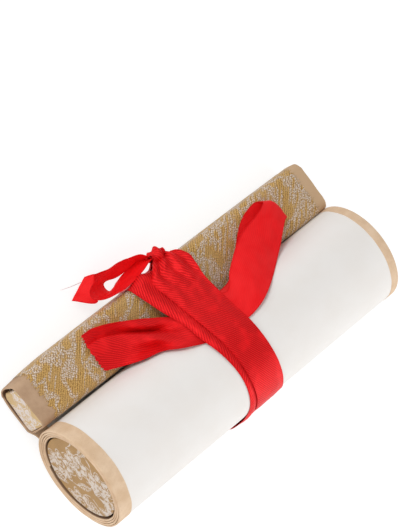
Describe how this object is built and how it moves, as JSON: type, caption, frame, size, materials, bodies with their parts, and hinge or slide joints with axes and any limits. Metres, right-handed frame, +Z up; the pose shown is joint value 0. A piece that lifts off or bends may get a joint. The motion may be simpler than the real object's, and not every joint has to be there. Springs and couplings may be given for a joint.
{
  "type": "paper scroll",
  "caption": "Rolled paper scroll with kraft-bound edges on a roller, its outer end wrapped round a brocade-covered bar, the two tied together with a red ribbon and bow.",
  "frame": {"origin": "middle of the flat underside of the ribbon, on which the scroll lies", "axes": "+X along the roll from its near end to its far end, +Y from the roll to the bar, +Z up"},
  "size_m": [0.222, 0.1135, 0.0648],
  "materials": {
    "card": "matte",
    "kraft": "matte",
    "tube_board": "matte",
    "brocade": "satin",
    "red_ribbon": "satin"
  },
  "bodies": {
    "root": {"scroll_sheet": "card", "edge_binding_near": "kraft", "edge_binding_far": "kraft", "roller_tube": "tube_board", "roller_disc_near": "brocade", "roller_disc_far": "brocade", "bar_core": "tube_board", "bar_panel_near": "brocade", "bar_panel_far": "brocade", "brocade_cover": "brocade", "ribbon": "red_ribbon"}
  },
  "joints": []
}
